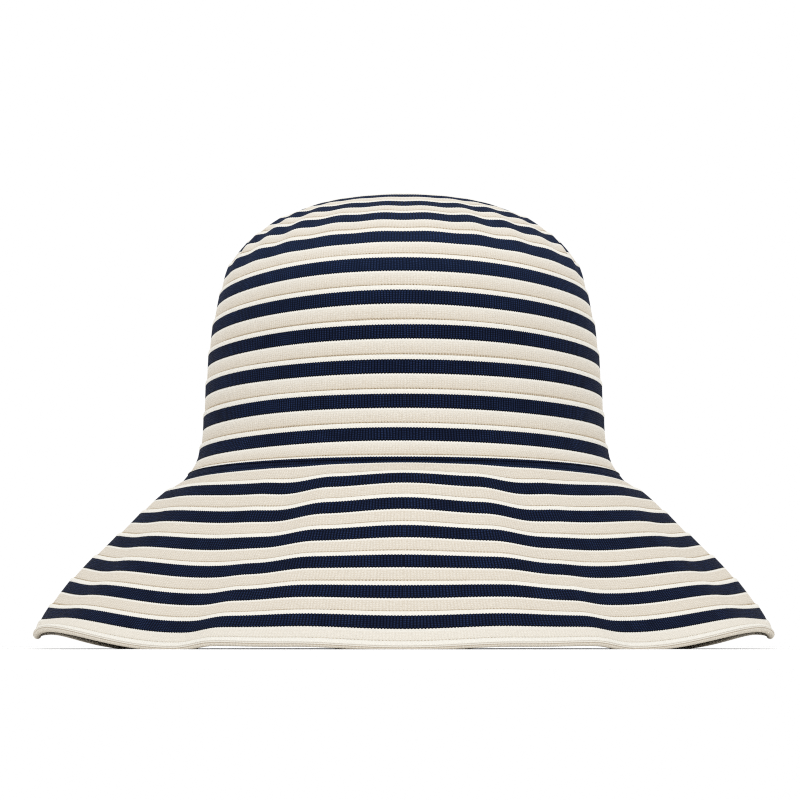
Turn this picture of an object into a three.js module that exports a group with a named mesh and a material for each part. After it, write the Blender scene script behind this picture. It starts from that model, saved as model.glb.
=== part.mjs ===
import * as THREE from "three";

// A soft bucket hat sewn from overlapping rows of ribbon. Millimetres and degrees.
// It rests on its rim at z = 0 and faces -Y. Azimuth 0 is the front and grows towards +X.

const ROUND = 2 * Math.PI;
const RAD = Math.PI / 180;

// One row of ribbon lies over the next, so its upper edge stands proud of the row above.
const WALL = 1.8;
const ROW_PITCH = 14.15;
const LAP_STEP = 0.5;
const PIECE_GAP = 0.4;

// The oval line where crown and brim are sewn together. It sags a little at both sides.
const SEAM = { halfWidth: 100, halfDepth: 104, height: 75.4, sideSag: 1.4 };

// The crown's rise, followed up the cloth from the seam: its slope and its depth over its width.
const CROWN_SLOPES = [
  { along: 0, slope: 56 },
  { along: 7, slope: 52 },
  { along: 15, slope: 78.5 },
  { along: 30, slope: 87.5 },
  { along: 60, slope: 85 },
  { along: 80, slope: 78.5 },
  { along: 95, slope: 75.5 },
  { along: 110, slope: 50.5 },
  { along: 125, slope: 37 },
  { along: 140, slope: 19.5 },
  { along: 155, slope: 10 },
  { along: 190, slope: 0 },
  { along: 240, slope: 0 },
];
const CROWN_OVALS = [
  { along: 0, depthRatio: 1.04 },
  { along: 45, depthRatio: 1.09 },
  { along: 85, depthRatio: 1.175 },
  { along: 110, depthRatio: 1.01 },
  { along: 130, depthRatio: 0.87 },
  { along: 240, depthRatio: 0.87 },
];
const CROWN_FIRST_LAP = 4.2;
const CROWN_CORNER_PINCH = 0.02;

// How much lower the crown's rows hang at both sides than in front.
const CROWN_SIDE_SAGS = [
  { along: 0, sag: SEAM.sideSag },
  { along: 40, sag: -0.4 },
  { along: 95, sag: 1.2 },
  { along: 110, sag: 1.2 },
  { along: 155, sag: 0 },
  { along: 240, sag: 0 },
];

// Small gathers where the side turns over into the top. They are shallower at the very front.
const GATHER_COUNT = 24;
const GATHER_DEPTH = 1.0;
const GATHER_CALM = { from: 8, to: 24, least: 0.35 };
const GATHER_RISE = { from: 86, to: 110 };
const GATHER_FADE = { from: 114, to: 152 };

// The brim hangs in waves. Each section is an extreme of a wave: the cloth's slope below level at
// four stations from the seam, and the height of the rim's lowest point above the resting plane.
const STATIONS = [0, 20, 50, 84, 96];
const BRIM_SECTIONS = [
  { azimuth: 0, slopes: [29, 52, 56.5, 56], rimHeight: 0 },
  { azimuth: 15, slopes: [37.5, 53.5, 50.5, 52], rimHeight: 1.4 },
  { azimuth: 26, slopes: [55.5, 54.5, 48.5, 45], rimHeight: 1.7 },
  { azimuth: 33, slopes: [48.5, 56, 53, 47.5], rimHeight: -0.4 },
  { azimuth: 60, slopes: [31.5, 51.5, 47.5, 41], rimHeight: 7.3 },
  { azimuth: 78, slopes: [28, 45.5, 43, 56.5], rimHeight: 4.7 },
  { azimuth: 99, slopes: [40.5, 46, 39.5, 45.5], rimHeight: 4.5 },
  { azimuth: 123, slopes: [33, 54, 55, 50], rimHeight: 0 },
  { azimuth: 146, slopes: [34, 50, 50, 50], rimHeight: 4.6 },
  { azimuth: 180, slopes: [32, 54, 56, 54], rimHeight: 0 },
];
const BRIM_FIRST_LAP = 8.05;
const BRIM_LAPS = 6;
const BRIM_END = 89.3;

// The brim's cloth is pressed thinner where its edge runs inside the folded band.
const BRIM_EDGE = { wall: 1.1, from: 84 };

// The folded band over the rim: two lips, a slot for the brim's edge and a round fold.
const BINDING_START = 87.4;
const BINDING_LIP = 0.8;
const BINDING_GAP = 0.3;
const BINDING_OUT = BINDING_GAP + BINDING_LIP;
const BINDING_IN = -BRIM_EDGE.wall - BINDING_GAP - BINDING_LIP;
const FOLD_RADIUS = (BINDING_OUT - BINDING_IN) / 2;
const FOLD_MIDDLE = (BINDING_OUT + BINDING_IN) / 2;
const FOLD_ALONG = 93.6;
const REST_FLATTENING = 0.5;

const CROWN_SEGMENTS = 96;
const BRIM_SEGMENTS = 72;

function readTable(rows, key, column, at) {
  const next = rows.findIndex((row) => row[key] >= at);
  if (next <= 0) return rows[0][column];
  const low = rows[next - 1];
  const high = rows[next];
  const share = (at - low[key]) / (high[key] - low[key]);
  return low[column] + (high[column] - low[column]) * share;
}

function smooth(from, to, at) {
  const share = Math.min(1, Math.max(0, (at - from) / (to - from)));
  return share * share * (3 - 2 * share);
}

// How far the seam is lowered at one azimuth.
function sideSag(azimuth) {
  return SEAM.sideSag * Math.sin(azimuth) ** 2;
}

// The crown's meridian, stepped along the cloth until it closes at the apex.
function crownMeridian() {
  const step = 0.25;
  const points = [{ along: 0, radius: SEAM.halfWidth, height: SEAM.height }];
  let last = points[0];
  while (last.radius > 0) {
    const slope = readTable(CROWN_SLOPES, "along", "slope", last.along + step / 2) * RAD;
    last = {
      along: last.along + step,
      radius: last.radius - Math.cos(slope) * step,
      height: last.height + Math.sin(slope) * step,
    };
    points.push(last);
  }
  last.radius = 0;
  return points;
}

const MERIDIAN = crownMeridian();
const APEX_ALONG = MERIDIAN[MERIDIAN.length - 1].along;

function crownSurface(azimuth, along) {
  const radius = readTable(MERIDIAN, "along", "radius", along);
  const ratio = readTable(CROWN_OVALS, "along", "depthRatio", along);
  const pinch = CROWN_CORNER_PINCH * Math.sin(2 * azimuth) ** 2 * Math.min(1, along / 60);
  const sag = readTable(CROWN_SIDE_SAGS, "along", "sag", along) * Math.sin(azimuth) ** 2;
  return new THREE.Vector3(
    radius * Math.sin(azimuth) * (1 - pinch),
    -radius * ratio * Math.cos(azimuth) * (1 - pinch),
    readTable(MERIDIAN, "along", "height", along) - sag,
  );
}

function gather(azimuth, along) {
  const strength =
    smooth(GATHER_RISE.from, GATHER_RISE.to, along) * (1 - smooth(GATHER_FADE.from, GATHER_FADE.to, along));
  const fromFront = Math.abs(Math.atan2(Math.sin(azimuth), Math.cos(azimuth))) / RAD;
  const calm = GATHER_CALM.least + (1 - GATHER_CALM.least) * smooth(GATHER_CALM.from, GATHER_CALM.to, fromFront);
  return (-GATHER_DEPTH / 2) * strength * calm * Math.cos(GATHER_COUNT * azimuth);
}

// Slopes at all stations for one azimuth, eased between the wave extremes on either side of it.
function brimSlopes(azimuth) {
  const turned = Math.abs(azimuth / RAD) % 360;
  const angle = turned > 180 ? 360 - turned : turned;
  const next = Math.max(1, SOLVED_SECTIONS.findIndex((section) => section.azimuth >= angle));
  const low = SOLVED_SECTIONS[next - 1];
  const high = SOLVED_SECTIONS[next];
  const share = (angle - low.azimuth) / (high.azimuth - low.azimuth);
  const ease = (1 - Math.cos(Math.PI * share)) / 2;
  return low.slopes.map((slope, index) => slope + (high.slopes[index] - slope) * ease);
}

// Distance out and down from the seam after following the cloth.
function followBrim(slopes, along) {
  const rows = STATIONS.map((station, index) => ({ along: station, slope: slopes[index] }));
  const steps = Math.max(1, Math.round(along));
  const step = along / steps;
  let out = 0;
  let down = 0;
  for (let index = 0; index < steps; index += 1) {
    const slope = readTable(rows, "along", "slope", (index + 0.5) * step) * RAD;
    out += Math.cos(slope) * step;
    down += Math.sin(slope) * step;
  }
  const slope = readTable(rows, "along", "slope", along) * RAD;
  return { out, down, slope };
}

// Lowest point of the fold for a set of slopes.
function foldBottom(slopes, azimuth) {
  const { down, slope } = followBrim(slopes, FOLD_ALONG);
  const seam = SEAM.height - sideSag(azimuth);
  return seam - down + FOLD_MIDDLE * Math.cos(slope) - FOLD_RADIUS;
}

// The slope at the rim is the one that brings the fold to the section's stated height.
function solveSection({ azimuth, slopes, rimHeight }) {
  let low = 0;
  let high = 89;
  for (let turn = 0; turn < 40; turn += 1) {
    const middle = (low + high) / 2;
    if (foldBottom([...slopes, middle], azimuth * RAD) > rimHeight) low = middle;
    else high = middle;
  }
  return { azimuth, slopes: [...slopes, (low + high) / 2] };
}

const SOLVED_SECTIONS = BRIM_SECTIONS.map(solveSection);

function brimSurface(azimuth, along) {
  const { out, down } = followBrim(brimSlopes(azimuth), along);
  const normal = new THREE.Vector2(Math.sin(azimuth) / SEAM.halfWidth, -Math.cos(azimuth) / SEAM.halfDepth);
  normal.normalize();
  return new THREE.Vector3(
    SEAM.halfWidth * Math.sin(azimuth) + normal.x * out,
    -SEAM.halfDepth * Math.cos(azimuth) + normal.y * out,
    SEAM.height - sideSag(azimuth) - down,
  );
}

// A point moved off a surface along its outward normal. `side` is 1 for the crown, -1 for the brim.
function lift(surface, side, azimuth, along, distance) {
  const turn = 0.002;
  const walk = Math.min(0.5, along);
  const across = surface(azimuth + turn, along).sub(surface(azimuth - turn, along));
  const onward = surface(azimuth, along + 0.5).sub(surface(azimuth, along - walk));
  const normal = across.cross(onward).normalize().multiplyScalar(side * distance);
  return surface(azimuth, along).add(normal);
}

function toMesh(name, points, triangles, material) {
  const geometry = new THREE.BufferGeometry();
  geometry.setAttribute("position", new THREE.Float32BufferAttribute(points.flatMap((p) => [p.x, p.y, p.z]), 3));
  geometry.setIndex(triangles);
  geometry.computeVertexNormals();
  const mesh = new THREE.Mesh(geometry, material);
  mesh.name = name;
  return mesh;
}

// Two triangles for each cell between neighbouring profiles of `count` points.
function bandTriangles(segments, count, cells) {
  const triangles = [];
  for (let turn = 0; turn < segments; turn += 1) {
    const here = turn * count;
    const there = ((turn + 1) % segments) * count;
    for (let index = 0; index < cells; index += 1) {
      const next = (index + 1) % count;
      triangles.push(here + index, there + index, there + next);
      triangles.push(here + index, there + next, here + next);
    }
  }
  return triangles;
}

function azimuths(segments) {
  return Array.from({ length: segments }, (_, turn) => (ROUND * turn) / segments);
}

// A ring whose closed profile is given as [along, offset] pairs, counterclockwise seen from +X.
function ring(name, profile, pointAt, segments, material) {
  const points = azimuths(segments).flatMap((azimuth) => profile.map(([along, off]) => pointAt(azimuth, along, off)));
  return toMesh(name, points, bandTriangles(segments, profile.length, profile.length), material);
}

// The crown's outside as [along, offset] pairs: each row thickens up to its upper edge.
function crownOutside() {
  const profile = [[0, (LAP_STEP * (ROW_PITCH - CROWN_FIRST_LAP)) / ROW_PITCH]];
  for (let lap = CROWN_FIRST_LAP; lap < APEX_ALONG - 6; lap += ROW_PITCH) {
    profile.push([lap, LAP_STEP], [lap, 0]);
  }
  return profile;
}

function crown(material) {
  const outside = crownOutside();
  const inside = [168, 140, 118, 100, 72, 30, 12, 0].map((along) => [along, -WALL]);
  const profile = [...outside, ...inside];
  const points = azimuths(CROWN_SEGMENTS).flatMap((azimuth) =>
    profile.map(([along, off]) => lift(crownSurface, 1, azimuth, along, off + gather(azimuth, along))),
  );
  const apex = new THREE.Vector3(0, 0, MERIDIAN[MERIDIAN.length - 1].height);
  const top = points.push(apex) - 1;
  const under = points.push(apex.clone().setZ(apex.z - WALL)) - 1;
  const count = profile.length;
  const turnover = outside.length - 1;
  const triangles = [];
  for (let turn = 0; turn < CROWN_SEGMENTS; turn += 1) {
    const here = turn * count;
    const there = ((turn + 1) % CROWN_SEGMENTS) * count;
    for (let index = 0; index < count; index += 1) {
      if (index === turnover) continue;
      const next = (index + 1) % count;
      triangles.push(here + index, there + index, there + next);
      triangles.push(here + index, there + next, here + next);
    }
    triangles.push(here + turnover, there + turnover, top);
    triangles.push(there + turnover + 1, here + turnover + 1, under);
  }
  return toMesh("crown", points, triangles, material);
}

function brim(material) {
  const nearEdge = BINDING_START - PIECE_GAP;
  const inside = [PIECE_GAP, 14, 30, 50, 70, BRIM_EDGE.from].map((along) => [along, -WALL]);
  inside.push([nearEdge, -BRIM_EDGE.wall], [BRIM_END, -BRIM_EDGE.wall]);
  const outside = [[BRIM_END, 0], [nearEdge, (LAP_STEP * (BRIM_END - nearEdge)) / ROW_PITCH]];
  for (let lap = BRIM_LAPS - 1; lap >= 0; lap -= 1) {
    const along = BRIM_FIRST_LAP + lap * ROW_PITCH;
    outside.push([along, LAP_STEP], [along, 0]);
  }
  outside.push([PIECE_GAP, (LAP_STEP * BRIM_FIRST_LAP) / ROW_PITCH]);
  const pointAt = (azimuth, along, off) => lift(brimSurface, -1, azimuth, along, off);
  return ring("brim", [...inside, ...outside], pointAt, BRIM_SEGMENTS, material);
}

function rimBinding(material) {
  const slotEnd = BRIM_END + PIECE_GAP;
  const fold = [180, 146, 118, 90, 50, 0].map((turn) => [
    FOLD_ALONG + FOLD_RADIUS * Math.sin(turn * RAD),
    FOLD_MIDDLE + FOLD_RADIUS * Math.cos(turn * RAD),
  ]);
  const profile = [
    [BINDING_START, BINDING_IN],
    ...fold,
    [BINDING_START, BINDING_OUT],
    [BINDING_START, BINDING_GAP],
    [slotEnd, BINDING_GAP],
    [slotEnd, -BRIM_EDGE.wall - BINDING_GAP],
    [BINDING_START, -BRIM_EDGE.wall - BINDING_GAP],
  ];
  const pointAt = (azimuth, along, off) => {
    const base = Math.min(along, FOLD_ALONG);
    const point = lift(brimSurface, -1, azimuth, base, off);
    const ahead = brimSurface(azimuth, base + 0.5).sub(brimSurface(azimuth, base - 0.5)).normalize();
    point.addScaledVector(ahead, along - base);
    point.z = Math.max(point.z, REST_FLATTENING);
    return point;
  };
  return ring("rim_binding", profile, pointAt, BRIM_SEGMENTS, material);
}

// Puts the flattened feet at z = 0 and the hat's middle on the Y axis.
function settle(group) {
  const box = new THREE.Box3().setFromObject(group);
  const shift = -(box.min.y + box.max.y) / 2;
  for (const mesh of group.children) mesh.geometry.translate(0, shift, -REST_FLATTENING);
  return group;
}

const navy = new THREE.MeshStandardMaterial({ color: 0x1c2440, roughness: 0.85, metalness: 0 });
const navyBrim = new THREE.MeshStandardMaterial({ color: 0x1c2440, roughness: 0.85, metalness: 0 });
const cream = new THREE.MeshStandardMaterial({ color: 0xebe4d6, roughness: 0.85, metalness: 0 });

const hat = new THREE.Group();
hat.name = "bucket_hat";
hat.add(crown(navy), brim(navyBrim), rimBinding(cream));

export default settle(hat);
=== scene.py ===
import math
from collections import namedtuple

import bpy
import mathutils
import numpy as np
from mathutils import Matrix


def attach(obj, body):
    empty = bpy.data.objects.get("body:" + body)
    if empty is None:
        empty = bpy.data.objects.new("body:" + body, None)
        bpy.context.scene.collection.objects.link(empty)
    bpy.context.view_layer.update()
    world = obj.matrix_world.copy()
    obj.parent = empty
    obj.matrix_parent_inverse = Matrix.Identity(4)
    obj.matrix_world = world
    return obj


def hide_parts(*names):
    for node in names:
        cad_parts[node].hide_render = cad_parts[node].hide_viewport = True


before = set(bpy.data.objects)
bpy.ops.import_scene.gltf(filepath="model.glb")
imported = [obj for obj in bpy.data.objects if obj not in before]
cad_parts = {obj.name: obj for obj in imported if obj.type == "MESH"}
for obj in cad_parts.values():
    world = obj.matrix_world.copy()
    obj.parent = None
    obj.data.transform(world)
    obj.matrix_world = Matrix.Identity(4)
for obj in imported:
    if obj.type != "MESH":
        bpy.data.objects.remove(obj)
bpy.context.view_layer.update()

# The shape is worked out in millimetres and degrees, as in the part's source, and scaled on the way
# into Blender. "theta" runs round the hat from the front (-Y) towards +X. "along" is measured on the
# cloth from the seam between crown and brim: upwards on the crown, outwards on the brim.
MM = 0.001

SEAM_HALF_WIDTH = 100
SEAM_HALF_DEPTH = 104
SEAM_HEIGHT = 75.4
SEAM_SIDE_SAG = 1.4
ROW_PITCH = 14.15

# Crown: distance up the cloth and slope, then depth over width, then how far its sides sag.
CROWN_ALONG = [0, 7, 15, 30, 60, 80, 95, 110, 125, 140, 155, 190, 240]
CROWN_SLOPE = [56, 52, 78.5, 87.5, 85, 78.5, 75.5, 50.5, 37, 19.5, 10, 0, 0]
OVAL_ALONG = [0, 45, 85, 110, 130, 240]
OVAL_RATIO = [1.04, 1.09, 1.175, 1.01, 0.87, 0.87]
SAG_ALONG = [0, 40, 95, 110, 155, 240]
SIDE_SAG = [SEAM_SIDE_SAG, -0.4, 1.2, 1.2, 0, 0]
CROWN_FIRST_LAP = 4.2

# The crown's corners are pinched in, fully from a distance up the cloth on.
CORNER_PINCH = 0.02
PINCH_FULL_AT = 60

# Gathers: where they rise and fade along the cloth, and the degrees from the front that calm them.
GATHER_COUNT = 24
GATHER_DEPTH = 1.0
GATHER_RISE = (86, 110)
GATHER_FADE = (114, 152)
GATHER_CALM = (8, 24)
GATHER_LEAST = 0.35

# Brim: extremes of its waves. Each has its azimuth, its slopes below level at the first four stations
# along the cloth, and the rim's height. The slope at the last station is solved from that height.
STATIONS = [0, 20, 50, 84, 96]
BRIM_SECTIONS = [
    (0, [29, 52, 56.5, 56], 0),
    (15, [37.5, 53.5, 50.5, 52], 1.4),
    (26, [55.5, 54.5, 48.5, 45], 1.7),
    (33, [48.5, 56, 53, 47.5], -0.4),
    (60, [31.5, 51.5, 47.5, 41], 7.3),
    (78, [28, 45.5, 43, 56.5], 4.7),
    (99, [40.5, 46, 39.5, 45.5], 4.5),
    (123, [33, 54, 55, 50], 0),
    (146, [34, 50, 50, 50], 4.6),
    (180, [32, 54, 56, 54], 0),
]
BRIM_FIRST_LAP = 8.05
BRIM_LAPS = 6
BRIM_END = 89.3
SEAM_GAP = 0.15
STEEPEST_SLOPE = 89.0
SOLVER_HALVINGS = 40

# Steps in which the cloth is followed from the seam, and how far the brim's is followed.
CROWN_STEP = 0.25
BRIM_STEP = 0.5
BRIM_REACH = 98

# Ribbon: its stripes across the width, from the upper edge down, and how rows lie on each other.
RIBBON_THICKNESS = 0.6
RIBBON_TOP_OFFSET = 0.55
RIBBON_DROP = 0.66
RIBBON_LAP = 2.4
SELVEDGE = 1.95
SELVEDGE_BULGE = 0.18
NAVY_END = 7.82
SEWING_WOBBLE = 0.12
STITCH_PITCH = 1.3

# Widths at which a ribbon's profile has points, and how much its edges are rounded.
OUTSIDE_WIDTHS = [0.3, 0.7, 1.1, 1.5, 1.9, 2.6, 5, NAVY_END, 9.6, 12, 13.4, 14.2, 15.2]
INSIDE_WIDTHS = [13.6, 10, 6, 2.2]
RIBBON_EDGE = 0.1

# How close ribbons may come to the seam and to the crown's middle.
SEAM_CLEARANCE = 0.02
MIDDLE_CLEARANCE = 0.05

# Steps to both sides of a point, in radians and millimetres, that show which way a surface runs.
TURN_STEP = 0.002
WALK_STEP = 0.5

# Beads of thread: half their length, half their width and their height.
CROWN_BEAD = (0.36, 0.32, 0.26)
BRIM_BEAD = (0.36, 0.34, 0.26)
BINDING_BEAD = (0.34, 0.24, 0.2)
BEAD_FACES = [[0, 1, 4], [1, 2, 4], [2, 3, 4], [3, 0, 4], [1, 0, 5], [2, 1, 5], [3, 2, 5], [0, 3, 5]]

# How far the line of thread lies above the edge it holds. On the crown this grows as the front turns
# away from a view that rises by a few degrees, up to a limit.
BRIM_THREAD_ABOVE = 0.5
CROWN_THREAD_ABOVE = 0.25
CROWN_THREAD_HIGHEST = 2.2
CROWN_THREAD_GROWTH = 0.6
VIEW_RISE = 8
LEAST_SLOPE_SEEN = 0.1

# The crown's lowest ribbon: the part of its width that shows, and how far it climbs at the sides.
WAIST_START = 1.2
WAIST_END = 3.75
WAIST_CLIMB = 2.2
CREASE_CLIMB = 4.1
WAIST_SUNK = (0.2, 0.2)
CREASE_MARGIN = 0.05

# Its selvedge is drawn under towards the sides, between two shares of the climb.
SELVEDGE_HIDES = (0.72, 0.97)

# The second ribbon is drawn down to the lowest one between two of its widths, and overlaps it.
SECOND_ROW_LAP = 2
SECOND_ROW_DRAWN = (9, 13)
SECOND_ROW_OVERLAP = 0.25

# The strip of cloth between the seam and the crease.
SEAM_ROW_START = 2.05
SEAM_ROW_END = ROW_PITCH - BRIM_FIRST_LAP
SEAM_ROW_OVERLAP = 0.15
SEAM_ROW_SUNK = (0.45, 0)

# Rows of the crown start no closer to its middle than this. The round in the middle closes the rest.
MIDDLE_ROUND = 6

# Folded rim binding: where it starts, is sewn on and folds over, as distances along the cloth, then
# how far its inside and the middle of its fold lie off the cloth.
BINDING_START = 87.4
BINDING_SEAM = 91.95
FOLD_ALONG = 93.6
BINDING_INSIDE = -2.2
FOLD_MIDDLE = -0.55
FOLD_RADIUS = 1.65

# Two fine grooves in the fold, at angles in degrees round it.
FOLD_GROOVES = (34, 58)
FOLD_GROOVE = 0.14
GROOVE_SPREAD = 4

# Ribs on the binding's inside, the slot that takes the brim's edge, and the thread of its seam.
INSIDE_RIBS = (FOLD_ALONG - 0.6, BINDING_START + 0.5)
INSIDE_RIB = 0.12
INSIDE_RIB_STEP = 0.7
SLOT_FLOOR = -1.4
SLOT_TOP = 0.3
BINDING_THREAD_OFFSET = 0.36

# The point of its profile where the band's length is measured, and how far it is flattened at rest.
LIP_POINT = 4
REST_FLATTENING = 0.5

# Points round the hat.
CROWN_TURNS = 240
BRIM_TURNS = 360
BINDING_TURNS = 480


def smooth(start, end, at):
    share = np.clip((at - start) / (end - start), 0, 1)
    return share * share * (3 - 2 * share)


def side_sag(theta):
    return SEAM_SIDE_SAG * np.sin(theta) ** 2


def crown_meridian():
    """Distance up the cloth, radius at the side and height, until the crown closes."""
    along = np.arange(0, CROWN_ALONG[-1], CROWN_STEP)
    slope = np.radians(np.interp(along + CROWN_STEP / 2, CROWN_ALONG, CROWN_SLOPE))
    radius = SEAM_HALF_WIDTH - np.concatenate([[0], np.cumsum(np.cos(slope) * CROWN_STEP)])
    height = SEAM_HEIGHT + np.concatenate([[0], np.cumsum(np.sin(slope) * CROWN_STEP)])
    end = int(np.argmax(radius <= 0)) + 1
    return np.arange(end) * CROWN_STEP, np.maximum(radius[:end], 0), height[:end]


MERIDIAN_ALONG, MERIDIAN_RADIUS, MERIDIAN_HEIGHT = crown_meridian()
APEX_ALONG = MERIDIAN_ALONG[-1]


def crown_surface(theta, along):
    radius = np.interp(along, MERIDIAN_ALONG, MERIDIAN_RADIUS)
    height = np.interp(along, MERIDIAN_ALONG, MERIDIAN_HEIGHT)
    ratio = np.interp(along, OVAL_ALONG, OVAL_RATIO)
    pinch = 1 - CORNER_PINCH * np.sin(2 * theta) ** 2 * np.minimum(1, along / PINCH_FULL_AT)
    sag = np.interp(along, SAG_ALONG, SIDE_SAG) * np.sin(theta) ** 2
    return np.stack([
        radius * np.sin(theta) * pinch,
        -radius * ratio * np.cos(theta) * pinch,
        height - sag,
    ], axis=-1)


def gather(theta, along):
    """Small pleats where the side turns over into the top, none quite like the next."""
    strength = smooth(*GATHER_RISE, along) * (1 - smooth(*GATHER_FADE, along))
    from_front = np.degrees(np.abs(np.arctan2(np.sin(theta), np.cos(theta))))
    calm = GATHER_LEAST + (1 - GATHER_LEAST) * smooth(*GATHER_CALM, from_front)
    uneven = 1 + 0.25 * np.sin(5 * theta + 0.8) + 0.2 * np.sin(9 * theta + 2.1)
    return -GATHER_DEPTH / 2 * strength * calm * uneven * np.cos(GATHER_COUNT * theta)


def follow_brim(slopes, along):
    """Distance out and down from the seam, and the slope, for a row of station slopes per azimuth."""
    grid = np.arange(0, BRIM_REACH + BRIM_STEP, BRIM_STEP)
    middle = grid[:-1] + BRIM_STEP / 2
    slope = np.radians(np.stack([np.interp(middle, STATIONS, row) for row in slopes]))
    zero = np.zeros((len(slopes), 1))
    out = np.concatenate([zero, np.cumsum(np.cos(slope) * BRIM_STEP, axis=1)], axis=1)
    down = np.concatenate([zero, np.cumsum(np.sin(slope) * BRIM_STEP, axis=1)], axis=1)
    cell = np.clip((along / BRIM_STEP).astype(int), 0, len(grid) - 2)
    share = along / BRIM_STEP - cell
    rows = np.arange(len(slopes))[:, None]
    out_at = out[rows, cell] * (1 - share) + out[rows, cell + 1] * share
    down_at = down[rows, cell] * (1 - share) + down[rows, cell + 1] * share
    return out_at, down_at, slope[rows, cell]


def fold_bottom(slopes, azimuth):
    """Height of the fold's lowest point at one azimuth."""
    _, down, slope = follow_brim(np.array([slopes]), np.array([[FOLD_ALONG]]))
    seam = SEAM_HEIGHT - side_sag(math.radians(azimuth))
    return seam - down[0, 0] + FOLD_MIDDLE * math.cos(slope[0, 0]) - FOLD_RADIUS


def solve_section(azimuth, slopes, rim_height):
    """Adds the slope at the rim that brings the fold to its stated height."""
    low, high = 0.0, STEEPEST_SLOPE
    for _ in range(SOLVER_HALVINGS):
        middle = (low + high) / 2
        if fold_bottom(slopes + [middle], azimuth) > rim_height:
            low = middle
        else:
            high = middle
    return slopes + [(low + high) / 2]


SECTION_AZIMUTH = np.array([section[0] for section in BRIM_SECTIONS], float)
SECTION_SLOPES = np.array([solve_section(*section) for section in BRIM_SECTIONS])


def brim_slopes(theta):
    """Slopes at all stations for each azimuth, eased between the sections on either side of it."""
    turned = np.degrees(np.abs(theta)) % 360
    angle = np.where(turned > 180, 360 - turned, turned)
    low = np.searchsorted(SECTION_AZIMUTH, angle, side="right") - 1
    low = np.clip(low, 0, len(SECTION_AZIMUTH) - 2)
    share = (angle - SECTION_AZIMUTH[low]) / (SECTION_AZIMUTH[low + 1] - SECTION_AZIMUTH[low])
    ease = ((1 - np.cos(np.pi * share)) / 2)[:, None]
    return SECTION_SLOPES[low] * (1 - ease) + SECTION_SLOPES[low + 1] * ease


def brim_surface(theta, along):
    """theta is a column of shape (n, 1) and along has shape (n, m)."""
    out, down, _ = follow_brim(brim_slopes(theta[:, 0]), along)
    across = np.sin(theta) / SEAM_HALF_WIDTH
    forward = -np.cos(theta) / SEAM_HALF_DEPTH
    length = np.hypot(across, forward)
    return np.stack([
        SEAM_HALF_WIDTH * np.sin(theta) + across / length * out,
        -SEAM_HALF_DEPTH * np.cos(theta) + forward / length * out,
        SEAM_HEIGHT - side_sag(theta) - down,
    ], axis=-1)


def lift(surface, side, theta, along, distance):
    """Points moved off a surface along its outward normal: side is 1 on the crown, -1 on the brim."""
    across = surface(theta + TURN_STEP, along) - surface(theta - TURN_STEP, along)
    onward = surface(theta, along + WALK_STEP) - surface(theta, np.maximum(along - WALK_STEP, 0))
    normal = np.cross(across, onward)
    normal /= np.linalg.norm(normal, axis=-1, keepdims=True) + 1e-12
    return surface(theta, along) + normal * (side * distance)[..., None]


def binding_profile():
    """The folded band: outer lip, welt, fold, inner lip and slot.

    Returns distances along the cloth, offsets, widths, the width at the seam and those at the grooves.
    """
    lip = [(0, 0.38), (0.06, 0.6), (0.3, 0.7), (1.4, 0.74), (2.8, 0.7), (3.6, 0.62)]
    welt = [(-0.2, 0.5), (0, 0.32), (0.2, 0.55), (0.45, 0.82), (0.9, 1.04), (1.5, 1.1)]
    outer = [(BINDING_START + along, offset) for along, offset in lip]
    outer += [(BINDING_SEAM + along, offset) for along, offset in welt]
    near_groove = [groove + step * GROOVE_SPREAD for groove in FOLD_GROOVES for step in range(-2, 3)]
    turns = [2, 10, 18, 46, *near_groove, 74, 84, 94, 106, 120, 134, 148, 164, 180]
    turns = np.array(sorted(turns), float)
    dips = sum(FOLD_GROOVE * np.exp(-((turns - groove) / GROOVE_SPREAD) ** 2) for groove in FOLD_GROOVES)
    radii = FOLD_RADIUS - dips
    fold = [
        (FOLD_ALONG + radius * math.sin(turn), FOLD_MIDDLE + radius * math.cos(turn))
        for turn, radius in zip(np.radians(turns), radii)
    ]
    inner = [
        (along, BINDING_INSIDE + INSIDE_RIB * (index % 2))
        for index, along in enumerate(np.arange(*INSIDE_RIBS, -INSIDE_RIB_STEP))
    ]
    slot_end = BRIM_END + SEAM_GAP
    slot = [
        (BINDING_START + 0.1, BINDING_INSIDE + 0.1),
        (BINDING_START, BINDING_INSIDE + 0.5),
        (BINDING_START + 0.05, SLOT_FLOOR),
        (slot_end, SLOT_FLOOR),
        (slot_end, SLOT_TOP),
    ]
    profile = np.array(outer + fold + inner + slot)
    steps = np.hypot(*(profile[1:] - profile[:-1]).T)
    widths = np.concatenate([[0], np.cumsum(steps)])
    grooves_at = [widths[len(outer) + int(np.argmax(turns == groove))] for groove in FOLD_GROOVES]
    return profile[:, 0], profile[:, 1], widths, widths[len(lip) + 1], grooves_at


def place_binding(theta, along, offset):
    """Points of the band. Past the fold's start the cloth goes straight on, and it rests flat."""
    base = np.minimum(along, FOLD_ALONG) + np.zeros_like(theta)
    points = lift(brim_surface, -1, theta, base, offset + np.zeros_like(base))
    ahead = brim_surface(theta, base + WALK_STEP) - brim_surface(theta, base - WALK_STEP)
    ahead /= np.linalg.norm(ahead, axis=-1, keepdims=True)
    points = points + ahead * (along - base)[..., None]
    points[..., 2] = np.maximum(points[..., 2], REST_FLATTENING)
    return points


binding_along, binding_offset, binding_width, seam_at, grooves_at = binding_profile()
round_brim = np.linspace(0, 2 * np.pi, BINDING_TURNS, endpoint=False)[:, None]
binding_points = place_binding(round_brim, binding_along, binding_offset)

# The part's source puts the middle of the rim's depth at y = 0 and its feet at z = 0.
rim_depth = binding_points[..., 1]
HAT_SHIFT = np.array([0, -(rim_depth.min() + rim_depth.max()) / 2, -REST_FLATTENING])


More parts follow.
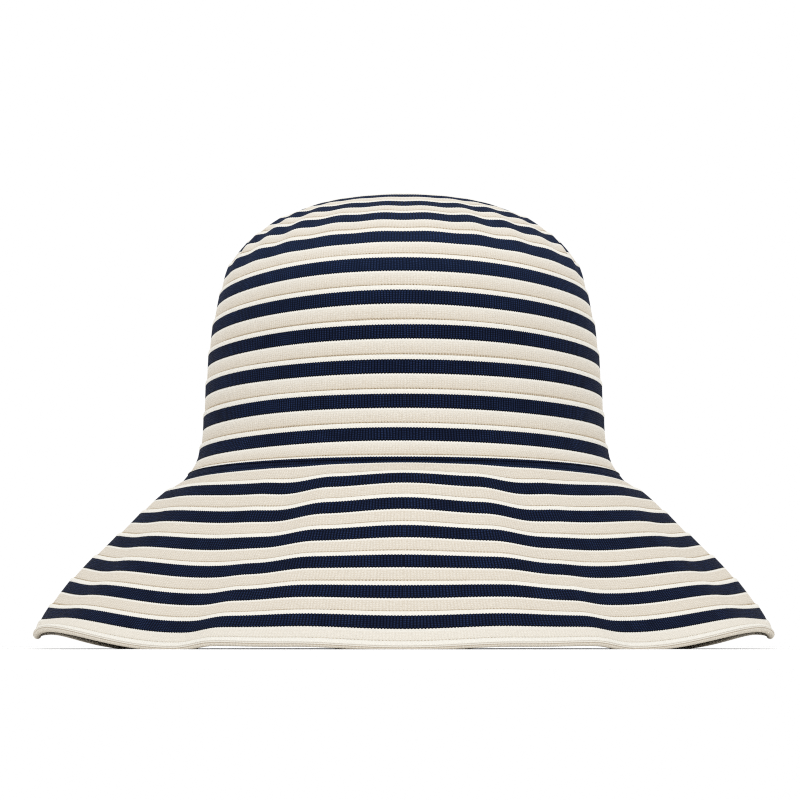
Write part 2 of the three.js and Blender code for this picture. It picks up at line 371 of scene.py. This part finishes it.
def arc_lengths(points):
    """Length round a closed ring of points of shape (n, 3), at each point and back at the start."""
    steps = np.linalg.norm(np.roll(points, -1, axis=0) - points, axis=1)
    return np.concatenate([[0], np.cumsum(steps)])


def add_mesh(name, points, faces):
    """A smooth mesh piece of points in millimetres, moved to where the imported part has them."""
    mesh = bpy.data.meshes.new(name)
    mesh.from_pydata(((points + HAT_SHIFT) * MM).tolist(), [], faces.tolist())
    mesh.polygons.foreach_set("use_smooth", [True] * len(mesh.polygons))
    piece = bpy.data.objects.new(name, mesh)
    bpy.context.scene.collection.objects.link(piece)
    return piece


def ring_mesh(name, rings):
    """One mesh of closed rings. Each ring is (points of shape (n, m, 3), its lengths round, widths).

    The m points of a profile close on themselves. The "cloth" UV map holds millimetres: x along the
    ribbon and y across it from its upper edge, so that the weave has its real scale everywhere.
    """
    vertices, faces, coordinates = [], [], []
    first = 0
    for points, lengths, widths in rings:
        turns, count, _ = points.shape
        vertices.append(points.reshape(-1, 3))
        turn = np.repeat(np.arange(turns), count)
        step = np.tile(np.arange(count), turns)
        next_turn = (turn + 1) % turns
        next_step = (step + 1) % count
        corners = np.stack([
            turn * count + step,
            turn * count + next_step,
            next_turn * count + next_step,
            next_turn * count + step,
        ], axis=1)
        faces.append(corners + first)
        x = np.stack([lengths[turn], lengths[turn], lengths[turn + 1], lengths[turn + 1]], axis=1)
        y = np.stack([widths[step], widths[next_step], widths[next_step], widths[step]], axis=1)
        coordinates.append(np.stack([x, y], axis=2).reshape(-1, 2))
        first += turns * count
    piece = add_mesh(name, np.concatenate(vertices), np.concatenate(faces))
    cloth = piece.data.uv_layers.new(name="cloth")
    cloth.data.foreach_set("uv", np.concatenate(coordinates).ravel())
    return piece


def wobble(theta, row):
    """Hand-guided sewing: no row runs perfectly parallel to the next."""
    return SEWING_WOBBLE * (np.sin(3 * theta + 1.7 * row) + 0.5 * np.sin(7 * theta + 2.9 * row))


def outer_offset(width):
    """How far the outside of a ribbon stands off the surface, with its selvedge a little rounder."""
    selvedge = SELVEDGE_BULGE * np.sin(np.pi * np.clip(width / SELVEDGE, 0, 1))
    return RIBBON_TOP_OFFSET - RIBBON_DROP * width / ROW_PITCH + selvedge


def ribbon_profile(start, end):
    """Closed profile of one ribbon between two widths: across the outside, then back inside."""

    def between(widths):
        return [width for width in widths if start + 2 * RIBBON_EDGE < width < end - 2 * RIBBON_EDGE]

    outside = np.array([start + RIBBON_EDGE, *between(OUTSIDE_WIDTHS), end - RIBBON_EDGE])
    inside = np.array([end - RIBBON_EDGE, *between(INSIDE_WIDTHS), start + RIBBON_EDGE])
    widths = np.concatenate([[start], outside, [end], inside])
    offsets = np.concatenate([
        [outer_offset(start) - RIBBON_THICKNESS / 2],
        outer_offset(outside),
        [outer_offset(end) - RIBBON_THICKNESS / 2],
        outer_offset(inside) - RIBBON_THICKNESS,
    ])
    return widths, offsets


# One ribbon: where its upper edge lies, its first and last width, how far it is moved along the cloth
# at each azimuth and width, and how deep its two edges are sunk under its neighbours.
Row = namedtuple("Row", "lap start end creep sunk", defaults=(None, (0, 0)))


def sewn(row):
    """The creep of a row that is sewn on above another: a wobble of its own."""
    return lambda theta, widths: wobble(theta, row)


def crease_creep(theta):
    """How far the crease climbs. It ends where it meets the upper edge of the navy."""
    climb = np.sin(theta) ** 2
    return np.minimum(CREASE_CLIMB * climb, WAIST_CLIMB * climb + WAIST_END - SELVEDGE - CREASE_MARGIN)


def waist_creep(theta, widths):
    """The crown's lowest ribbon climbs towards the sides, where it runs out in the crease."""
    climb = np.sin(theta) ** 2
    navy = WAIST_CLIMB * climb
    into_navy = np.clip((widths - SELVEDGE) / (WAIST_END - SELVEDGE), 0, 1)
    into_selvedge = np.clip((SELVEDGE - widths) / (SELVEDGE - WAIST_START), 0, 1)
    hidden = (SELVEDGE - WAIST_START) * smooth(*SELVEDGE_HIDES, climb)
    return navy + (crease_creep(theta) - navy) * into_navy - hidden * into_selvedge


def follow_waist(theta, widths):
    """The ribbon above is drawn down to the lowest one's edge, with its line of thread in sight."""
    edge = waist_creep(theta, WAIST_START) - WAIST_START
    return wobble(theta, 1) + (edge + SECOND_ROW_OVERLAP) * smooth(*SECOND_ROW_DRAWN, widths)


def seam_creep(theta, widths):
    """The cloth below the crease reaches a little past it, under the crown's lowest ribbon."""
    top = CROWN_FIRST_LAP - WAIST_END + crease_creep(theta) + SEAM_ROW_OVERLAP
    share = (SEAM_ROW_END - widths) / (SEAM_ROW_END - SEAM_ROW_START)
    return top * share - (SEAM_ROW_END - widths)


def ribbon_rows(name, surface, side, turns, rows, pleats=None):
    """One mesh of ribbons that lie round a surface, clear of the seam and of the crown's middle."""
    theta = np.linspace(0, 2 * np.pi, turns, endpoint=False)[:, None]
    reach = APEX_ALONG - MIDDLE_CLEARANCE if side > 0 else None
    rings = []
    for row in rows:
        widths, offsets = ribbon_profile(row.start, row.end)
        along = row.lap - side * widths + np.zeros_like(theta)
        if row.creep:
            along = along + row.creep(theta, widths)
        along = np.clip(along, SEAM_CLEARANCE, reach)
        distance = offsets - np.interp(widths, [row.start, row.end], row.sunk) + np.zeros_like(along)
        if pleats:
            distance = distance + pleats(theta, along)
        points = lift(surface, side, theta, along, distance)
        middle_of_outside = points[:, len(widths) // 3]
        rings.append((points, arc_lengths(middle_of_outside), widths))
    return ring_mesh(name, rings)


# The crown's rows from the lowest up. The last one closes the middle.
full_width = ROW_PITCH + RIBBON_LAP
waist_row = Row(CROWN_FIRST_LAP, WAIST_START, WAIST_END, waist_creep, WAIST_SUNK)
crown_laps = np.arange(CROWN_FIRST_LAP, APEX_ALONG - MIDDLE_ROUND, ROW_PITCH)
crown_sewn = [Row(crown_laps[1], 0, ROW_PITCH + SECOND_ROW_LAP, follow_waist)]
crown_sewn += [Row(lap, 0, full_width, sewn(row)) for row, lap in enumerate(crown_laps) if row > 1]
middle_lap = crown_laps[-1] + ROW_PITCH
middle_row = Row(middle_lap, middle_lap - APEX_ALONG, full_width)

# The brim's first ribbon runs on up into the crease, below the crown's lowest one.
seam_row_end = SEAM_ROW_END - CREASE_MARGIN
seam_row = Row(SEAM_ROW_END, SEAM_ROW_START, seam_row_end, seam_creep, SEAM_ROW_SUNK)
brim_laps = [BRIM_FIRST_LAP + ROW_PITCH * row for row in range(BRIM_LAPS)]
brim_first = Row(-SEAM_ROW_END, SEAM_ROW_END + SEAM_GAP, full_width)
brim_sewn = [
    Row(lap, 0, min(full_width, BRIM_END - lap), sewn(row + 1))
    for row, lap in enumerate(brim_laps)
]

crown_rows = [*crown_sewn, middle_row, seam_row]
crown_ribbon = ribbon_rows("crown_ribbon", crown_surface, 1, CROWN_TURNS, crown_rows, gather)
waist_ribbon = ribbon_rows("waist_ribbon", crown_surface, 1, CROWN_TURNS, [waist_row])
brim_ribbon = ribbon_rows("brim_ribbon", brim_surface, -1, BRIM_TURNS, [brim_first, *brim_sewn])

binding_lengths = arc_lengths(binding_points[:, LIP_POINT])
binding = ring_mesh("binding_band", [(binding_points, binding_lengths, binding_width)])


def thread_beads(name, lines, bead):
    """Short raised thread bumps along closed lines. Each line holds points and directions round it."""
    half_long, half_wide, height = bead
    bead_faces = np.array(BEAD_FACES)
    vertices, faces = [], []
    first = 0
    for points, normals in lines:
        lengths = arc_lengths(points)
        count = int(lengths[-1] / STITCH_PITCH)
        stops = np.arange(count) * lengths[-1] / count
        closed = np.concatenate([points, points[:1]])
        outward = np.concatenate([normals, normals[:1]])
        centre = np.stack([np.interp(stops, lengths, closed[:, axis]) for axis in range(3)], axis=1)
        up = np.stack([np.interp(stops, lengths, outward[:, axis]) for axis in range(3)], axis=1)
        up /= np.linalg.norm(up, axis=1, keepdims=True)
        round_way = np.roll(centre, -1, axis=0) - np.roll(centre, 1, axis=0)
        round_way /= np.linalg.norm(round_way, axis=1, keepdims=True)
        cross = np.cross(up, round_way)
        long, wide, high = round_way * half_long, cross * half_wide, up * height
        corners = [-long, -wide, long, wide, high, -high]
        vertices.append(np.stack([centre + corner for corner in corners], axis=1).reshape(-1, 3))
        starts = first + np.arange(count) * len(corners)
        faces.append((bead_faces[None] + starts[:, None, None]).reshape(-1, 3))
        first += count * len(corners)
    return add_mesh(name, np.concatenate(vertices), np.concatenate(faces))


def lap_line(surface, side, turns, row, above, pleats=None):
    """The line just above one row's upper edge, on the cloth of the row above."""
    theta = np.linspace(0, 2 * np.pi, turns, endpoint=False)[:, None]
    along = row.lap + side * (above - row.start) + row.creep(theta, np.full(1, row.start))
    low = outer_offset(ROW_PITCH) + (pleats(theta, along) if pleats else np.zeros_like(along))
    points = lift(surface, side, theta, along, low)[:, 0]
    return points, lift(surface, side, theta, along, low + 1)[:, 0] - points


def thread_height(lap):
    """The line is sewn farther above the edge where the front slopes, so that it stays in sight."""
    front = crown_surface(np.zeros(2), np.array([lap - 1, lap + 1]))
    run, rise = front[1, 1:] - front[0, 1:]
    slope_seen = max(LEAST_SLOPE_SEEN, math.atan2(rise, run) - math.radians(VIEW_RISE))
    return min(CROWN_THREAD_HIGHEST, CROWN_THREAD_ABOVE + CROWN_THREAD_GROWTH / math.tan(slope_seen))


def binding_line(offset):
    """The line of the binding's seam, at an offset from the cloth."""
    return place_binding(round_brim, np.array([[BINDING_SEAM]]), np.array([[offset]]))[:, 0]


crown_lines = [
    lap_line(crown_surface, 1, CROWN_TURNS, row, thread_height(row.lap), gather)
    for row in [waist_row, *crown_sewn]
]
brim_lines = [lap_line(brim_surface, -1, BRIM_TURNS, row, BRIM_THREAD_ABOVE) for row in brim_sewn]
seam_line = binding_line(BINDING_THREAD_OFFSET)
seam_up = binding_line(BINDING_THREAD_OFFSET + 1) - seam_line

crown_stitches = thread_beads("crown_stitches", crown_lines, CROWN_BEAD)
brim_stitches = thread_beads("brim_stitches", brim_lines, BRIM_BEAD)
binding_stitches = thread_beads("binding_stitches", [(seam_line, seam_up)], BINDING_BEAD)


def linear(red, green, blue):
    """An sRGB colour, 0 to 255, as Blender's linear colour."""
    channels = [value / 255 for value in (red, green, blue)]
    return tuple(c / 12.92 if c <= 0.04045 else ((c + 0.055) / 1.055) ** 2.4 for c in channels) + (1.0,)


NAVY_GAP_AND_SHADE = linear(4, 6, 13)
NAVY = linear(17, 23, 43)
NAVY_FLOAT = linear(40, 58, 98)
CREAM = linear(231, 225, 214)
CREAM_HOLLOW_AND_SHADE = linear(198, 183, 159)
CREAM_BRIGHT = linear(240, 237, 228)
NAVY_SHEEN = linear(70, 100, 150)
THREAD = linear(146, 121, 84)
THREAD_PALE = linear(204, 188, 160)


# Cloth in general: its shine, its weave and the relief of its ribs.
CLOTH_ROUGHNESS = 0.85
CLOTH_SPECULAR = 0.05
THREAD_ROUGHNESS = 0.7
RIB_PITCH = 1.2
WEFT_PITCH = 0.84
BINDING_WEFT_PITCH = 0.7
RIB_DEPTH = 0.12
RIB_STRENGTH = 0.8
RIB_RELIEF = 0.6
WEFT_RELIEF = 0.4

# Grain: its sizes in millimetres, and how far ribs and wefts stray from their even pitch.
NOISE_DETAIL = 2.0
RIB_GRAIN = 12
WEFT_GRAIN = 2.0
TOOTH_GRAIN = 1.6
CREAM_GRAIN = 0.6
NAVY_GRAIN = 7
THREAD_GRAIN = 2.2
STRAY = 1.2

# The range of grain over which patches and threads turn lighter.
NAVY_PATCHES = (0.3, 0.72)
THREAD_PATCHES = (0.25, 0.6)

# Shares in the weave. A pair is a factor and what is added to it.
CREAM_THREADS = 0.5
CREAM_UNEVEN = (0.8, 0.2)
NAVY_POWER = 1.3
NAVY_FLOATS = (0.6, 0.4)
NAVY_RIBS = (0.8, 0.2)
TOOTH_UNEVEN = (1.6, -0.2)

# Distances across the ribbon in millimetres. A pair is where something starts and where it is full,
# counted from an edge of a stripe, from the lap, from the line of thread or from the crease.
TOOTH_DEPTH = 0.4
EDGE_BLUR = 0.06
SELVEDGE_ROUND = (0.1, 1.2)
SELVEDGE_EDGE = (0.2, -0.1)
FIRST_WEFT = (0.95, 0.6)
LAST_WEFT = (-0.75, -0.45)
LAP_SHADE_SPAN = (-2.6, -0.2)
THREAD_WIDTH = (0.3, 0.1)
CREASE_SHADE = (-0.5, -0.15)

# How far the line of thread is drawn above the lap, how strong it is, and where the painted light under
# the navy has faded out. The painted shade near the lap grows with that width.
CROWN_DRAWING = (0.4, 0.55, 3.4)
BRIM_DRAWING = (0.7, 0.4, 1.2)

# On the crown the line rises between two heights in metres, where the crown turns over.
TOP_HEIGHTS = (0.154, 0.19)
THREAD_RISE = 1.45

# The navy is painted a little bluer where it faces up, a painted sheen: above a height in metres on the
# crown, and on the brim only at the seam. It is bluest from the second height on.
CROWN_SHEEN_HEIGHTS = (0.135, 0.17)
BRIM_SHEEN_HEIGHTS = (0.07, 0.072)
SHEEN_SHARE = 0.06

# Shares of a lighter or a darker colour. A pair is a factor and what is added to it, but the grooves
# of the binding have a share each. The brightness under the navy is painted light; the darkening near
# the lap and below the binding's fold is painted shade.
SELVEDGE_BRIGHT = (0.45, 0.5)
UNDER_NAVY_BRIGHT = 0.55
LAP_SHADE_SHARE = 0.1
LAST_WEFT_DARK = 0.85
BINDING_BRIGHT = (0.5, 0.4)
BINDING_PUCKER = 0.2
BINDING_FOLD_SHADE = 0.5
GROOVE_DARK = (0.35, 0.5)

# Distances across the binding: its upper edge, the start and end of its welt, the puckers below the
# first groove, the painted shade below the last groove, and the grooves themselves.
BINDING_EDGE = (1.2, 0.4)
WELT_START = (0, 0.3)
WELT_END = (0, -0.3)
PUCKER_START = (0.2, 0.5)
SHADE_START = (0, 2.5)
GROOVE_WIDTH = (0.34, 0.08)


class Nodes:
    """Nodes of a material or of the sky. Arguments are sockets or plain numbers."""

    def __init__(self, owner):
        owner.use_nodes = True
        self.nodes = owner.node_tree.nodes
        self.links = owner.node_tree.links

    def put(self, socket, value):
        if isinstance(value, bpy.types.NodeSocket):
            self.links.new(value, socket)
        else:
            socket.default_value = value

    def math(self, operation, *values, clamp=False):
        node = self.nodes.new("ShaderNodeMath")
        node.operation = operation
        node.use_clamp = clamp
        for socket, value in zip(node.inputs, values):
            self.put(socket, value)
        return node.outputs[0]

    def split(self, vector):
        """The x, y and z of a vector."""
        node = self.nodes.new("ShaderNodeSeparateXYZ")
        self.put(node.inputs[0], vector)
        return node.outputs[0], node.outputs[1], node.outputs[2]

    def place(self, system):
        """Coordinates of one of Blender's systems."""
        return self.nodes.new("ShaderNodeTexCoord").outputs[system]


class Cloth(Nodes):
    """A cloth material drawn from millimetre coordinates."""

    def __init__(self, name, roughness=CLOTH_ROUGHNESS):
        self.material = bpy.data.materials.new(name)
        super().__init__(self.material)
        self.shader = self.nodes["Principled BSDF"]
        self.shader.inputs["Roughness"].default_value = roughness
        self.shader.inputs["Specular IOR Level"].default_value = CLOTH_SPECULAR

    def mix(self, share, first, second):
        node = self.nodes.new("ShaderNodeMix")
        node.data_type = "RGBA"
        self.put(node.inputs["Factor"], share)
        # The sockets for colours share their names with others, so they go by number.
        self.put(node.inputs[6], first)
        self.put(node.inputs[7], second)
        return node.outputs[2]

    def cloth_coordinates(self):
        """Millimetres along the ribbon and across it."""
        node = self.nodes.new("ShaderNodeUVMap")
        node.uv_map = "cloth"
        along, across, _ = self.split(node.outputs[0])
        return along, across

    def wave(self, at, pitch):
        """From 0 to 1 and back once in each pitch."""
        turned = self.math("COSINE", self.math("MULTIPLY", at, 2 * math.pi / pitch))
        return self.math("MULTIPLY_ADD", turned, 0.5, 0.5)

    def ramp(self, at, start, end, origin=0):
        """0 before start, 1 after end, both counted from an origin."""
        length = end - start
        return self.math("MULTIPLY_ADD", at, 1 / length, -(origin + start) / length, clamp=True)

    def noise(self, size):
        """Grain of one size in millimetres, fixed to the object."""
        node = self.nodes.new("ShaderNodeTexNoise")
        node.inputs["Scale"].default_value = 1 / (size * MM)
        node.inputs["Detail"].default_value = NOISE_DETAIL
        self.put(node.inputs["Vector"], self.place("Object"))
        return node.outputs["Fac"]

    def stray(self, at, grain):
        """A coordinate that strays from its even run."""
        return self.math("ADD", at, self.math("MULTIPLY", self.noise(grain), STRAY))

    def height(self):
        """Height above the floor in metres, fixed to the object."""
        return self.split(self.place("Object"))[2]

    def relief(self, ribs, wefts):
        """Raised ribs with a fainter step at each weft."""
        of_ribs = self.math("MULTIPLY", ribs, RIB_RELIEF)
        of_wefts = self.math("MULTIPLY", wefts, WEFT_RELIEF)
        node = self.nodes.new("ShaderNodeBump")
        node.inputs["Strength"].default_value = RIB_STRENGTH
        node.inputs["Distance"].default_value = RIB_DEPTH * MM
        self.put(node.inputs["Height"], self.math("ADD", of_ribs, of_wefts))
        self.put(self.shader.inputs["Normal"], node.outputs[0])

    def colour(self, colour):
        self.put(self.shader.inputs["Base Color"], colour)
        return self.material


def cream_weave(cloth, ribs, wefts):
    """Plain woven cream: darker between the threads, with a fine uneven grain."""
    threads = cloth.math("MULTIPLY", ribs, wefts)
    grain = cloth.math("MULTIPLY_ADD", cloth.noise(CREAM_GRAIN), *CREAM_UNEVEN)
    share = cloth.math("ADD", cloth.math("MULTIPLY", threads, CREAM_THREADS), grain, clamp=True)
    return cloth.mix(share, CREAM_HOLLOW_AND_SHADE, CREAM)


def navy_weave(cloth, ribs, wefts):
    """Navy ribs: lighter where a thread floats on top, nearly black in the gaps, in soft patches."""
    sharp_ribs = cloth.math("POWER", ribs, NAVY_POWER)
    sharp_wefts = cloth.math("POWER", wefts, NAVY_POWER)
    crossings = cloth.math("MULTIPLY", sharp_ribs, sharp_wefts)
    patches = cloth.ramp(cloth.noise(NAVY_GRAIN), *NAVY_PATCHES)
    floats = cloth.math("MULTIPLY", crossings, cloth.math("MULTIPLY_ADD", patches, *NAVY_FLOATS))
    ground = cloth.mix(cloth.math("MULTIPLY_ADD", ribs, *NAVY_RIBS), NAVY_GAP_AND_SHADE, NAVY)
    return cloth.mix(floats, ground, NAVY_FLOAT)


def cream_stripe(cloth, y, ribs, wefts, fade):
    """A bright selvedge. Below the navy the cream has painted light that fades out, and painted shade
    near the lap.
    """
    cream = cream_weave(cloth, ribs, wefts)
    in_selvedge = cloth.math("MULTIPLY_ADD", cloth.ramp(y, *SELVEDGE_ROUND), *SELVEDGE_BRIGHT)
    selvedge = cloth.math("MULTIPLY", cloth.ramp(y, *SELVEDGE_EDGE, SELVEDGE), in_selvedge)
    first_weft = cloth.ramp(y, *FIRST_WEFT, NAVY_END)
    # Painted light: the cream is lighter just under the navy and fades out across the stripe.
    faded = cloth.ramp(y, fade, FIRST_WEFT[1], NAVY_END)
    under_navy = cloth.math("MULTIPLY", faded, UNDER_NAVY_BRIGHT)
    bright = cloth.math("MAXIMUM", selvedge, cloth.math("MAXIMUM", first_weft, under_navy))
    cream = cloth.mix(bright, cream, CREAM_BRIGHT)
    # Painted shade: the cream darkens towards the lap of the next row.
    lap_shade = cloth.math("MULTIPLY", cloth.ramp(y, *LAP_SHADE_SPAN, ROW_PITCH), LAP_SHADE_SHARE * fade)
    return cloth.mix(lap_shade, cream, CREAM_HOLLOW_AND_SHADE)


def thread_line(cloth, x, y, above, strength):
    """Share of thread in a dotted line above the edge of the next ribbon, farther from it on top."""
    raised = cloth.math("MULTIPLY", cloth.ramp(cloth.height(), *TOP_HEIGHTS), THREAD_RISE)
    line = cloth.math("ADD", y, raised)
    middle = ROW_PITCH - above
    start, full = THREAD_WIDTH
    upper = cloth.ramp(line, -start, -full, middle)
    lower = cloth.ramp(line, start, full, middle)
    dots = cloth.math("MULTIPLY_ADD", cloth.wave(x, STITCH_PITCH), strength, strength / 3)
    return cloth.math("MULTIPLY", cloth.math("MULTIPLY", upper, lower), dots)


def navy_stripe(cloth, y, toothed, ribs, wefts, sheen_heights, crease):
    """Navy with a dark last weft and a painted sheen where it faces up. At a crease it is painted nearly
    black, as painted shade.
    """
    navy = navy_weave(cloth, ribs, wefts)
    last_weft = cloth.math("MULTIPLY", cloth.ramp(toothed, *LAST_WEFT, NAVY_END), LAST_WEFT_DARK)
    navy = cloth.mix(last_weft, navy, NAVY_GAP_AND_SHADE)
    if crease:
        # Painted shade: the navy turns nearly black towards the crease.
        navy = cloth.mix(cloth.ramp(y, *CREASE_SHADE, crease), navy, NAVY_GAP_AND_SHADE)
    # Painted sheen: the navy turns bluer above a height, standing in for light from above.
    sheen = cloth.math("MULTIPLY", cloth.ramp(cloth.height(), *sheen_heights), SHEEN_SHARE)
    return cloth.mix(sheen, navy, NAVY_SHEEN)


def ribbon_material(name, drawing, sheen_heights, crease=None):
    """Striped grosgrain: a cream selvedge, a navy stripe with toothed edges and a wide cream stripe."""
    cloth = Cloth(name)
    thread_above, thread_strength, fade = drawing
    x, y = cloth.cloth_coordinates()
    ribs = cloth.wave(cloth.stray(x, RIB_GRAIN), RIB_PITCH)
    wefts = cloth.wave(cloth.stray(y, WEFT_GRAIN), WEFT_PITCH)
    ragged = cloth.math("MULTIPLY_ADD", cloth.noise(TOOTH_GRAIN), *TOOTH_UNEVEN)
    even = cloth.math("MULTIPLY_ADD", ribs, TOOTH_DEPTH, -TOOTH_DEPTH / 2)
    teeth = cloth.math("MULTIPLY", even, ragged)
    toothed = cloth.math("SUBTRACT", y, teeth)
    upper = cloth.ramp(cloth.math("ADD", y, teeth), -EDGE_BLUR, EDGE_BLUR, SELVEDGE)
    lower = cloth.ramp(toothed, EDGE_BLUR, -EDGE_BLUR, NAVY_END)
    in_navy = cloth.math("MULTIPLY", upper, lower)

    cream = cream_stripe(cloth, y, ribs, wefts, fade)
    cream = cloth.mix(thread_line(cloth, x, y, thread_above, thread_strength), cream, THREAD)
    navy = navy_stripe(cloth, y, toothed, ribs, wefts, sheen_heights, crease)
    cloth.relief(ribs, wefts)
    return cloth.colour(cloth.mix(in_navy, cream, navy))


def binding_material():
    """The cream band folded over the rim: a flat part, a bright welt, and ribs and painted shade under
    the fold.
    """
    cloth = Cloth("binding_cloth")
    x, y = cloth.cloth_coordinates()
    ribs = cloth.wave(x, RIB_PITCH)
    wefts = cloth.wave(y, BINDING_WEFT_PITCH)
    first, last = grooves_at
    welt = cloth.math("MULTIPLY", cloth.ramp(y, *WELT_START, seam_at), cloth.ramp(y, *WELT_END, last))
    edge = cloth.ramp(y, *BINDING_EDGE)
    bright = cloth.math("MULTIPLY_ADD", cloth.math("MAXIMUM", welt, edge), *BINDING_BRIGHT)
    cream = cloth.mix(bright, cream_weave(cloth, ribs, wefts), CREAM_BRIGHT)
    puckers = cloth.math("MULTIPLY", cloth.wave(x, STITCH_PITCH), cloth.ramp(y, *PUCKER_START, first))
    cream = cloth.mix(cloth.math("MULTIPLY", puckers, BINDING_PUCKER), cream, CREAM_HOLLOW_AND_SHADE)
    # Painted shade on the underside of the fold, past the last groove.
    below = cloth.math("MULTIPLY", cloth.ramp(y, *SHADE_START, last), BINDING_FOLD_SHADE)
    cream = cloth.mix(below, cream, CREAM_HOLLOW_AND_SHADE)
    for groove, dark in zip(grooves_at, GROOVE_DARK):
        away = cloth.math("ABSOLUTE", cloth.math("SUBTRACT", y, groove))
        cream = cloth.mix(cloth.math("MULTIPLY", cloth.ramp(away, *GROOVE_WIDTH), dark), cream, THREAD)
    cloth.relief(ribs, wefts)
    return cloth.colour(cream)


def thread_material():
    """Beige sewing thread, paler in patches."""
    cloth = Cloth("sewing_thread", THREAD_ROUGHNESS)
    pale = cloth.ramp(cloth.noise(THREAD_GRAIN), *THREAD_PATCHES)
    return cloth.colour(cloth.mix(pale, THREAD, THREAD_PALE))


def dress(piece, material, node=None, slot=None):
    """Gives a piece its cloth. The large ones stand in for one of the part's solids."""
    piece.data.materials.append(material)
    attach(piece, "root")
    if slot:
        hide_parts(node)


thread = thread_material()
crown_cloth = ribbon_material("crown_cloth", CROWN_DRAWING, CROWN_SHEEN_HEIGHTS)
brim_cloth = ribbon_material("brim_cloth", BRIM_DRAWING, BRIM_SHEEN_HEIGHTS)
# The crown's lowest ribbon gets painted shade at the crease.
crease_shade_at = WAIST_END - CREASE_MARGIN
waist_cloth = ribbon_material("waist_cloth", CROWN_DRAWING, CROWN_SHEEN_HEIGHTS, crease_shade_at)
dress(crown_ribbon, crown_cloth, "crown", "crown_ribbon")
dress(brim_ribbon, brim_cloth, "brim", "brim_ribbon")
dress(waist_ribbon, waist_cloth)
dress(binding, binding_material(), "rim_binding", "binding_cloth")
for stitches in (crown_stitches, brim_stitches, binding_stitches):
    dress(stitches, thread)


# The studio: a plain pale floor under a white sky and one wide soft lamp, seen as in the photograph.
FLOOR_SIZE = 8.0
FLOOR_COLOUR = (0.99, 0.99, 0.99, 1)
FLOOR_ROUGHNESS = 0.9
SKY_LIGHT = 0.985
SKY_CONTRAST = 0.58
LAMP_PLACE = (0.0, -0.4, 1.6)
LAMP_SIZE = 1.2
LAMP_WATTS = 3
CAMERA_PLACE = (0.0, -0.874, 0.0012)
CAMERA_PITCH = 7.29
CAMERA_SENSOR = 36
CAMERA_LENS = 86.53
CAMERA_SHIFT = -0.00475
PIXEL_FILTER = 1.1


def floor_material():
    material = bpy.data.materials.new("studio_floor")
    material.use_nodes = True
    shader = material.node_tree.nodes["Principled BSDF"]
    shader.inputs["Base Color"].default_value = FLOOR_COLOUR
    shader.inputs["Roughness"].default_value = FLOOR_ROUGHNESS
    return material


def add_floor():
    half = FLOOR_SIZE / 2
    mesh = bpy.data.meshes.new("studio_floor")
    corners = [(-half, -half, 0), (half, -half, 0), (half, half, 0), (-half, half, 0)]
    mesh.from_pydata(corners, [], [(0, 1, 2, 3)])
    mesh.materials.append(floor_material())
    floor = bpy.data.objects.new("studio_floor", mesh)
    bpy.context.scene.collection.objects.link(floor)


def add_sky():
    """White where the camera looks. As light it is brighter in front and behind than at the sides."""
    world = bpy.data.worlds.new("studio_sky")
    sky = Nodes(world)
    x, y, _ = sky.split(sky.place("Generated"))
    across = sky.math("MULTIPLY", x, x)
    depth = sky.math("MULTIPLY", y, y)
    light = sky.math("MULTIPLY_ADD", sky.math("SUBTRACT", depth, across), SKY_CONTRAST, SKY_LIGHT)
    mix = sky.nodes.new("ShaderNodeMix")
    sky.put(mix.inputs["Factor"], sky.nodes.new("ShaderNodeLightPath").outputs["Is Camera Ray"])
    sky.put(mix.inputs["A"], light)
    sky.put(mix.inputs["B"], 1.0)
    background = sky.nodes["Background"]
    background.inputs["Color"].default_value = (1, 1, 1, 1)
    sky.put(background.inputs["Strength"], mix.outputs[0])
    bpy.context.scene.world = world


def add_lamp():
    light = bpy.data.lights.new("soft_lamp", "AREA")
    light.size = LAMP_SIZE
    light.energy = LAMP_WATTS
    lamp = bpy.data.objects.new("soft_lamp", light)
    lamp.location = LAMP_PLACE
    lamp.rotation_euler = (-mathutils.Vector(LAMP_PLACE)).to_track_quat("-Z", "Y").to_euler()
    bpy.context.scene.collection.objects.link(lamp)


def add_camera():
    lens = bpy.data.cameras.new("photo_camera")
    lens.sensor_width = CAMERA_SENSOR
    lens.lens = CAMERA_LENS
    lens.shift_x = CAMERA_SHIFT
    camera = bpy.data.objects.new("photo_camera", lens)
    camera.location = CAMERA_PLACE
    camera.rotation_euler = (math.radians(90 + CAMERA_PITCH), 0, 0)
    bpy.context.scene.collection.objects.link(camera)
    bpy.context.scene.camera = camera


add_floor()
add_sky()
add_lamp()
add_camera()
bpy.context.scene.view_settings.view_transform = "Standard"

# The weave is finer than the denoiser keeps, so it stays off, and pixels are filtered sharply.
bpy.context.scene.cycles.use_denoising = False
bpy.context.scene.cycles.filter_width = PIXEL_FILTER
